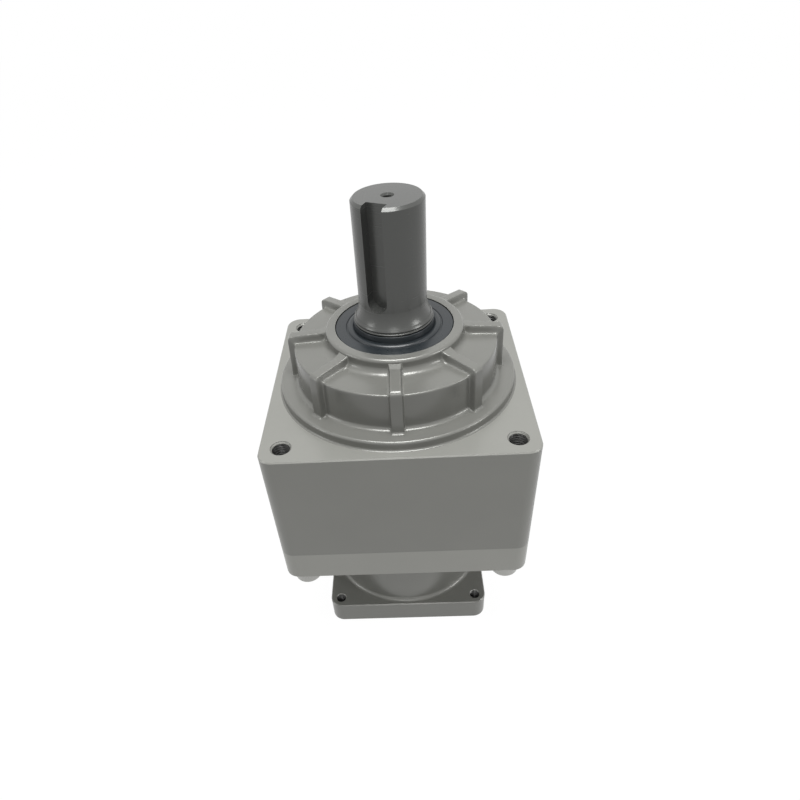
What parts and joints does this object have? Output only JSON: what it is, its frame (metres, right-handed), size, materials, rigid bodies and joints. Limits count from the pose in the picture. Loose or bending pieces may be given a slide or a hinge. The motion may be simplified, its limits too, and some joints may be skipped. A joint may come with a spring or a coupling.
{
  "type": "planetary gear reducer",
  "caption": "In-line planetary gear reducer with a keyed output shaft, a ribbed nose on a square mounting face and a motor flange on a round neck.",
  "frame": {"origin": "centre of the face that meets the motor, on the shaft axis", "axes": "+Z along the shaft axis from the motor face to the end of the output shaft, -Y to the front, with one nose rib straight at the front"},
  "size_m": [0.16, 0.16, 0.3],
  "materials": {
    "housing": "cast, machined faces satin",
    "adapter": "cast and turned, satin",
    "shaft_steel": "ground",
    "gear_steel": "hobbed and ground",
    "carrier_steel": "turned",
    "bearing_steel": "polished",
    "cage_plastic": "moulded",
    "washer_steel": "ground flat",
    "clip_steel": "phosphated",
    "screw_steel": "zinc plated",
    "clamp_aluminium": "turned",
    "seal_rubber": "moulded",
    "plug_rubber": "moulded"
  },
  "bodies": {
    "housing": {"output_housing": "housing", "motor_adapter": "adapter", "ring_gear": "gear_steel", "adapter_screws": "screw_steel", "adapter_o_ring": "seal_rubber", "access_plug": "plug_rubber", "rear_bearing_outer_ring": "bearing_steel", "front_bearing_outer_ring": "bearing_steel", "input_bearing_outer_ring": "bearing_steel", "input_bearing_circlip": "clip_steel", "output_seal": "seal_rubber", "output_seal_spring": "clip_steel", "input_seal": "seal_rubber", "input_seal_spring": "clip_steel"},
    "output_shaft": {"output_shaft": "shaft_steel", "output_carrier_plate": "carrier_steel", "output_carrier_screws": "screw_steel", "output_planet_pins": "bearing_steel", "output_thrust_washers": "washer_steel", "rear_bearing_inner_ring": "bearing_steel", "front_bearing_inner_ring": "bearing_steel", "bearing_spacer": "washer_steel", "output_circlip": "clip_steel"},
    "first_carrier": {"first_carrier": "carrier_steel", "first_carrier_plate": "carrier_steel", "first_carrier_screws": "screw_steel", "first_planet_pins": "bearing_steel", "first_thrust_washers": "washer_steel", "output_sun_gear": "gear_steel"},
    "input_shaft": {"input_shaft": "shaft_steel", "clamp_ring": "clamp_aluminium", "clamp_screw": "screw_steel", "input_bearing_inner_ring": "bearing_steel", "input_shaft_circlip": "clip_steel"},
    "output_planet_1": {"output_planet_gear_1": "gear_steel"},
    "output_needle_set_1": {"output_needles_1": "bearing_steel"},
    "first_planet_1": {"first_planet_gear_1": "gear_steel"},
    "first_needle_set_1": {"first_needles_1": "bearing_steel"},
    "output_planet_2": {"output_planet_gear_2": "gear_steel"},
    "output_needle_set_2": {"output_needles_2": "bearing_steel"},
    "first_planet_2": {"first_planet_gear_2": "gear_steel"},
    "first_needle_set_2": {"first_needles_2": "bearing_steel"},
    "output_planet_3": {"output_planet_gear_3": "gear_steel"},
    "output_needle_set_3": {"output_needles_3": "bearing_steel"},
    "first_planet_3": {"first_planet_gear_3": "gear_steel"},
    "first_needle_set_3": {"first_needles_3": "bearing_steel"},
    "rear_bearing_cage": {"rear_bearing_balls": "bearing_steel", "rear_bearing_cage": "cage_plastic"},
    "front_bearing_cage": {"front_bearing_balls": "bearing_steel", "front_bearing_cage": "cage_plastic"},
    "input_bearing_cage": {"input_bearing_balls": "bearing_steel", "input_bearing_cage": "cage_plastic"}
  },
  "joints": [
    {"name": "output_spin", "type": "hinge", "parent": "housing", "child": "output_shaft", "pos_m": [0, 0, 0.187], "axis": [0, 0, 1], "continuous": true},
    {"name": "first_carrier_spin", "type": "hinge", "parent": "housing", "child": "first_carrier", "pos_m": [0, 0, 0.1], "axis": [0, 0, 1], "continuous": true},
    {"name": "input_spin", "type": "hinge", "parent": "housing", "child": "input_shaft", "pos_m": [0, 0, 0.06965], "axis": [0, 0, 1], "continuous": true},
    {"name": "output_planet_spin_1", "type": "hinge", "parent": "output_shaft", "child": "output_planet_1", "pos_m": [0, 0.042, 0.138], "axis": [0, 0, 1], "continuous": true},
    {"name": "output_needle_roll_1", "type": "hinge", "parent": "output_shaft", "child": "output_needle_set_1", "pos_m": [0, 0.042, 0.138], "axis": [0, 0, 1], "continuous": true},
    {"name": "first_planet_spin_1", "type": "hinge", "parent": "first_carrier", "child": "first_planet_1", "pos_m": [0, 0.03938, 0.099], "axis": [0, 0, 1], "continuous": true},
    {"name": "first_needle_roll_1", "type": "hinge", "parent": "first_carrier", "child": "first_needle_set_1", "pos_m": [0, 0.03938, 0.099], "axis": [0, 0, 1], "continuous": true},
    {"name": "output_planet_spin_2", "type": "hinge", "parent": "output_shaft", "child": "output_planet_2", "pos_m": [-0.03637, -0.021, 0.138], "axis": [0, 0, 1], "continuous": true},
    {"name": "output_needle_roll_2", "type": "hinge", "parent": "output_shaft", "child": "output_needle_set_2", "pos_m": [-0.03637, -0.021, 0.138], "axis": [0, 0, 1], "continuous": true},
    {"name": "first_planet_spin_2", "type": "hinge", "parent": "first_carrier", "child": "first_planet_2", "pos_m": [-0.0341, -0.01969, 0.099], "axis": [0, 0, 1], "continuous": true},
    {"name": "first_needle_roll_2", "type": "hinge", "parent": "first_carrier", "child": "first_needle_set_2", "pos_m": [-0.0341, -0.01969, 0.099], "axis": [0, 0, 1], "continuous": true},
    {"name": "output_planet_spin_3", "type": "hinge", "parent": "output_shaft", "child": "output_planet_3", "pos_m": [0.03637, -0.021, 0.138], "axis": [0, 0, 1], "continuous": true},
    {"name": "output_needle_roll_3", "type": "hinge", "parent": "output_shaft", "child": "output_needle_set_3", "pos_m": [0.03637, -0.021, 0.138], "axis": [0, 0, 1], "continuous": true},
    {"name": "first_planet_spin_3", "type": "hinge", "parent": "first_carrier", "child": "first_planet_3", "pos_m": [0.0341, -0.01969, 0.099], "axis": [0, 0, 1], "continuous": true},
    {"name": "first_needle_roll_3", "type": "hinge", "parent": "first_carrier", "child": "first_needle_set_3", "pos_m": [0.0341, -0.01969, 0.099], "axis": [0, 0, 1], "continuous": true},
    {"name": "rear_cage_spin", "type": "hinge", "parent": "housing", "child": "rear_bearing_cage", "pos_m": [0, 0, 0.175], "axis": [0, 0, 1], "continuous": true},
    {"name": "front_cage_spin", "type": "hinge", "parent": "housing", "child": "front_bearing_cage", "pos_m": [0, 0, 0.198], "axis": [0, 0, 1], "continuous": true},
    {"name": "input_cage_spin", "type": "hinge", "parent": "housing", "child": "input_bearing_cage", "pos_m": [0, 0, 0.06965], "axis": [0, 0, 1], "continuous": true}
  ],
  "couplings": [
    {"joint": "first_carrier_spin", "follows": "output_spin", "ratio": 4},
    {"joint": "input_spin", "follows": "output_spin", "ratio": 20},
    {"joint": "output_planet_spin_1", "follows": "output_spin", "ratio": -3},
    {"joint": "output_needle_roll_1", "follows": "output_spin", "ratio": -1.7127},
    {"joint": "first_planet_spin_1", "follows": "output_spin", "ratio": -10.667},
    {"joint": "first_needle_roll_1", "follows": "output_spin", "ratio": -6.1337},
    {"joint": "output_planet_spin_2", "follows": "output_spin", "ratio": -3},
    {"joint": "output_needle_roll_2", "follows": "output_spin", "ratio": -1.7127},
    {"joint": "first_planet_spin_2", "follows": "output_spin", "ratio": -10.667},
    {"joint": "first_needle_roll_2", "follows": "output_spin", "ratio": -6.1337},
    {"joint": "output_planet_spin_3", "follows": "output_spin", "ratio": -3},
    {"joint": "output_needle_roll_3", "follows": "output_spin", "ratio": -1.7127},
    {"joint": "first_planet_spin_3", "follows": "output_spin", "ratio": -10.667},
    {"joint": "first_needle_roll_3", "follows": "output_spin", "ratio": -6.1337},
    {"joint": "rear_cage_spin", "follows": "output_spin", "ratio": 0.41176},
    {"joint": "front_cage_spin", "follows": "output_spin", "ratio": 0.40929},
    {"joint": "input_cage_spin", "follows": "output_spin", "ratio": 8.5185}
  ]
}
